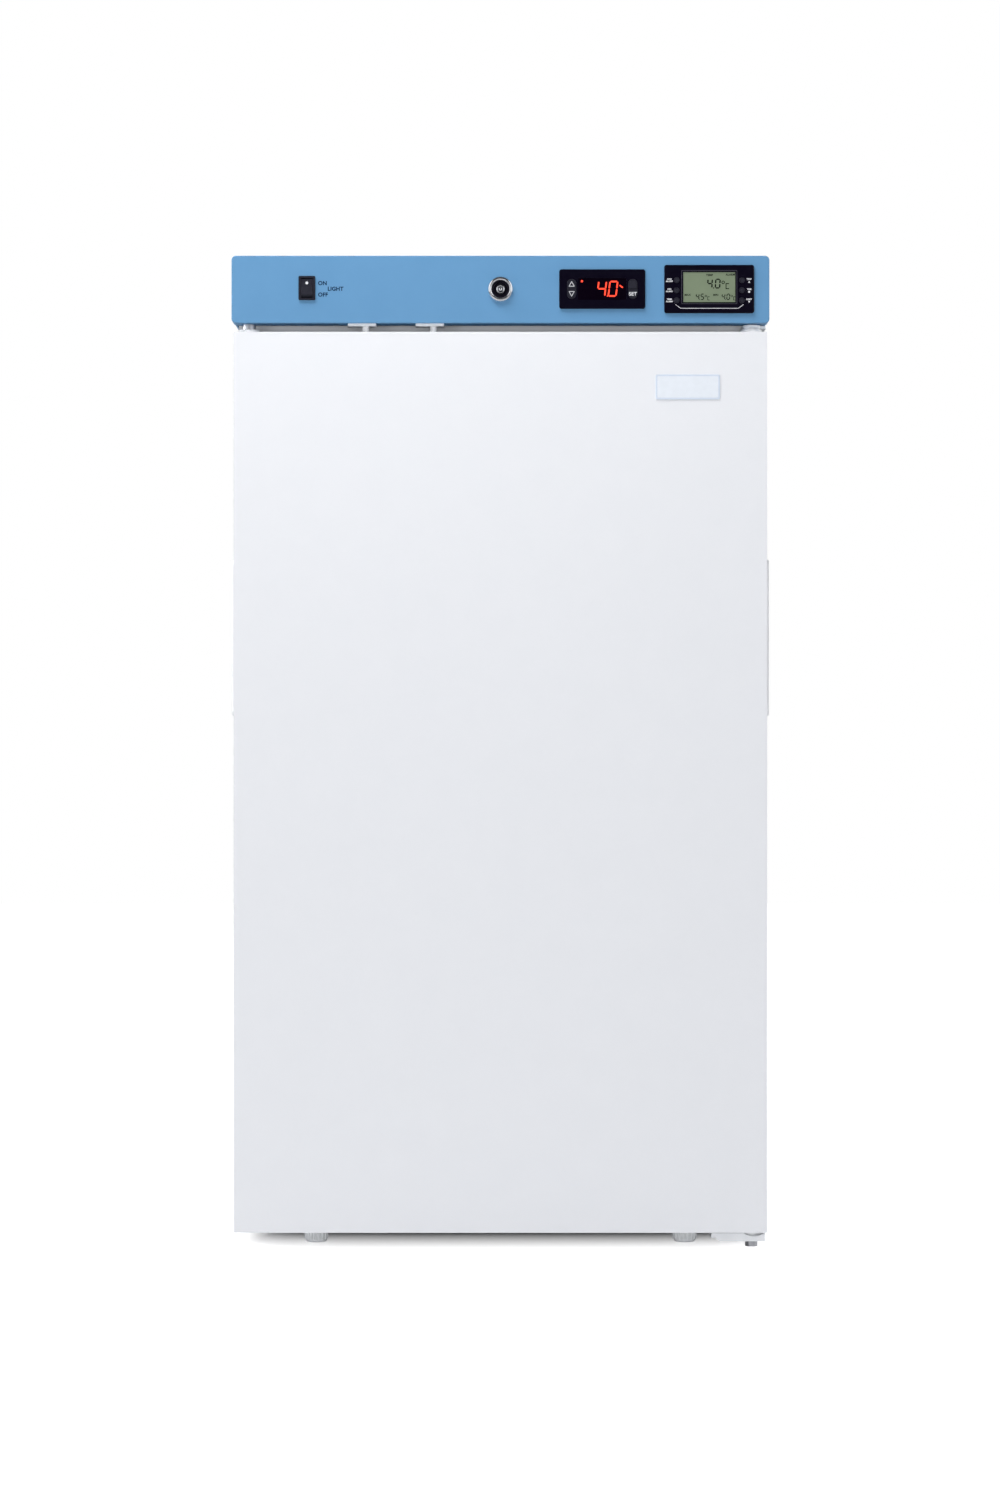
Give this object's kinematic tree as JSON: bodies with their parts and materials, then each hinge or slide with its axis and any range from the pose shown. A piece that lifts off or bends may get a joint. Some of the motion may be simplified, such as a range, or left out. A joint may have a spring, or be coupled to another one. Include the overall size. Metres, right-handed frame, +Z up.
{
  "type": "medical refrigerator",
  "caption": "Upright under-counter laboratory refrigerator with a flat insulated door on the right-hand hinge, a control panel across the top, wire shelves and levelling feet.",
  "frame": {"origin": "centre of the footprint on the floor, under the middle of the overall box", "axes": "+Z up, the door faces -Y, +X is to the right of someone who faces the door"},
  "size_m": [0.47, 0.512, 0.872],
  "materials": {
    "white_enamel": "satin",
    "blue_enamel": "satin",
    "galvanised_steel": "satin",
    "zinc_steel": "satin",
    "bright_chrome": "polished",
    "fin_aluminium": "satin",
    "copper": "satin",
    "compressor_black": "satin",
    "black_plastic": "satin",
    "grey_plastic": "matte",
    "white_plastic": "satin",
    "foot_plastic": "matte",
    "liner_plastic": "satin",
    "bottle_plastic": "gloss",
    "insulation": "matte",
    "gasket_vinyl": "matte",
    "black_rubber": "matte",
    "coated_wire": "satin",
    "smoked_window": "gloss",
    "lcd_glass": "gloss",
    "lamp_lens": "satin"
  },
  "bodies": {
    "cabinet": {"cabinet_wrap": "white_enamel", "back_panel": "galvanised_steel", "base_pan": "galvanised_steel", "cabinet_foam": "insulation", "inner_liner": "liner_plastic", "bay_partition": "galvanised_steel", "control_panel": "blue_enamel", "light_switch_housing": "black_plastic", "lock_body": "bright_chrome", "controller_case": "black_plastic", "controller_display": "smoked_window", "alarm_case": "black_plastic", "alarm_lcd": "lcd_glass", "door_switch_housings": "white_plastic", "top_hinge_bracket": "zinc_steel", "bottom_hinge_bracket": "zinc_steel", "hinge_pins": "zinc_steel", "screws": "zinc_steel", "air_duct_cover": "liner_plastic", "fan_motor": "black_plastic", "evaporator": "fin_aluminium", "lamp_base": "liner_plastic", "lamp_lens": "lamp_lens", "probe_bottle": "bottle_plastic", "compressor": "compressor_black", "compressor_mounts": "black_rubber", "drip_tray": "grey_plastic", "refrigerant_pipes": "copper", "power_inlet": "black_plastic"},
    "door": {"door_skin": "white_enamel", "door_top_cap": "grey_plastic", "door_bottom_cap": "grey_plastic", "door_foam": "insulation", "door_liner": "liner_plastic", "door_gasket": "gasket_vinyl", "door_handles": "white_plastic", "hinge_bushes": "white_plastic"},
    "shelf_lower": {"shelf_lower": "coated_wire"},
    "shelf_middle": {"shelf_middle": "coated_wire"},
    "shelf_upper": {"shelf_upper": "coated_wire"},
    "foot_front_left": {"foot_front_left": "foot_plastic"},
    "foot_front_right": {"foot_front_right": "foot_plastic"},
    "foot_rear_left": {"foot_rear_left": "foot_plastic"},
    "foot_rear_right": {"foot_rear_right": "foot_plastic"},
    "fan_rotor": {"fan_rotor": "black_plastic"},
    "light_switch_rocker": {"light_switch_rocker": "black_plastic"},
    "lock": {"lock_plug": "bright_chrome", "lock_cam": "zinc_steel"},
    "key_up": {"key_up": "black_plastic"},
    "key_down": {"key_down": "black_plastic"},
    "key_light": {"key_light": "black_plastic"},
    "key_set": {"key_set": "black_plastic"},
    "door_switch_plunger_left": {"door_switch_plunger_left": "white_plastic"},
    "door_switch_plunger_right": {"door_switch_plunger_right": "white_plastic"},
    "button_left_top": {"button_left_top": "black_plastic"},
    "button_left_middle": {"button_left_middle": "black_plastic"},
    "button_left_bottom": {"button_left_bottom": "black_plastic"},
    "button_right_top": {"button_right_top": "black_plastic"},
    "button_right_middle": {"button_right_middle": "black_plastic"},
    "button_right_bottom": {"button_right_bottom": "black_plastic"}
  },
  "joints": [
    {"name": "door_swing", "type": "hinge", "parent": "cabinet", "child": "door", "pos_m": [0.22, -0.23754, 0.4], "axis": [0, 0, 1], "range_deg": [0, 125]},
    {"name": "lock_turn", "type": "hinge", "parent": "cabinet", "child": "lock", "pos_m": [0, -0.25154, 0.8425], "axis": [0, -1, 0], "range_deg": [0, 90]},
    {"name": "light_switch_rock", "type": "hinge", "parent": "cabinet", "child": "light_switch_rocker", "pos_m": [-0.169, -0.25004, 0.8435], "axis": [1, 0, 0], "range_deg": [0, 24]},
    {"name": "fan_spin", "type": "hinge", "parent": "cabinet", "child": "fan_rotor", "pos_m": [0, 0.181, 0.67], "axis": [0, 1, 0], "continuous": true},
    {"name": "shelf_lower_slide", "type": "slide", "parent": "cabinet", "child": "shelf_lower", "axis": [0, -1, 0], "range_m": [0, 0.014]},
    {"name": "shelf_middle_slide", "type": "slide", "parent": "cabinet", "child": "shelf_middle", "axis": [0, -1, 0], "range_m": [0, 0.014]},
    {"name": "shelf_upper_slide", "type": "slide", "parent": "cabinet", "child": "shelf_upper", "axis": [0, -1, 0], "range_m": [0, 0.014]},
    {"name": "foot_front_left_turn", "type": "hinge", "parent": "cabinet", "child": "foot_front_left", "pos_m": [-0.165, -0.16654, 0.01], "axis": [0, 0, 1], "continuous": true},
    {"name": "foot_front_right_turn", "type": "hinge", "parent": "cabinet", "child": "foot_front_right", "pos_m": [0.165, -0.16654, 0.01], "axis": [0, 0, 1], "continuous": true},
    {"name": "foot_rear_left_turn", "type": "hinge", "parent": "cabinet", "child": "foot_rear_left", "pos_m": [-0.165, 0.22, 0.01], "axis": [0, 0, 1], "continuous": true},
    {"name": "foot_rear_right_turn", "type": "hinge", "parent": "cabinet", "child": "foot_rear_right", "pos_m": [0.165, 0.22, 0.01], "axis": [0, 0, 1], "continuous": true},
    {"name": "door_switch_plunger_left_travel", "type": "slide", "parent": "cabinet", "child": "door_switch_plunger_left", "axis": [0, 0, 1], "range_m": [0, 0.002], "stiffness_N_per_m": 300},
    {"name": "door_switch_plunger_right_travel", "type": "slide", "parent": "cabinet", "child": "door_switch_plunger_right", "axis": [0, 0, 1], "range_m": [0, 0.002], "stiffness_N_per_m": 300},
    {"name": "key_up_press", "type": "slide", "parent": "cabinet", "child": "key_up", "axis": [0, 1, 0], "range_m": [0, 0.0008], "stiffness_N_per_m": 900},
    {"name": "key_down_press", "type": "slide", "parent": "cabinet", "child": "key_down", "axis": [0, 1, 0], "range_m": [0, 0.0008], "stiffness_N_per_m": 900},
    {"name": "key_light_press", "type": "slide", "parent": "cabinet", "child": "key_light", "axis": [0, 1, 0], "range_m": [0, 0.0008], "stiffness_N_per_m": 900},
    {"name": "key_set_press", "type": "slide", "parent": "cabinet", "child": "key_set", "axis": [0, 1, 0], "range_m": [0, 0.0008], "stiffness_N_per_m": 900},
    {"name": "button_left_top_press", "type": "slide", "parent": "cabinet", "child": "button_left_top", "axis": [0, 1, 0], "range_m": [0, 0.0008], "stiffness_N_per_m": 900},
    {"name": "button_left_middle_press", "type": "slide", "parent": "cabinet", "child": "button_left_middle", "axis": [0, 1, 0], "range_m": [0, 0.0008], "stiffness_N_per_m": 900},
    {"name": "button_left_bottom_press", "type": "slide", "parent": "cabinet", "child": "button_left_bottom", "axis": [0, 1, 0], "range_m": [0, 0.0008], "stiffness_N_per_m": 900},
    {"name": "button_right_top_press", "type": "slide", "parent": "cabinet", "child": "button_right_top", "axis": [0, 1, 0], "range_m": [0, 0.0008], "stiffness_N_per_m": 900},
    {"name": "button_right_middle_press", "type": "slide", "parent": "cabinet", "child": "button_right_middle", "axis": [0, 1, 0], "range_m": [0, 0.0008], "stiffness_N_per_m": 900},
    {"name": "button_right_bottom_press", "type": "slide", "parent": "cabinet", "child": "button_right_bottom", "axis": [0, 1, 0], "range_m": [0, 0.0008], "stiffness_N_per_m": 900}
  ]
}
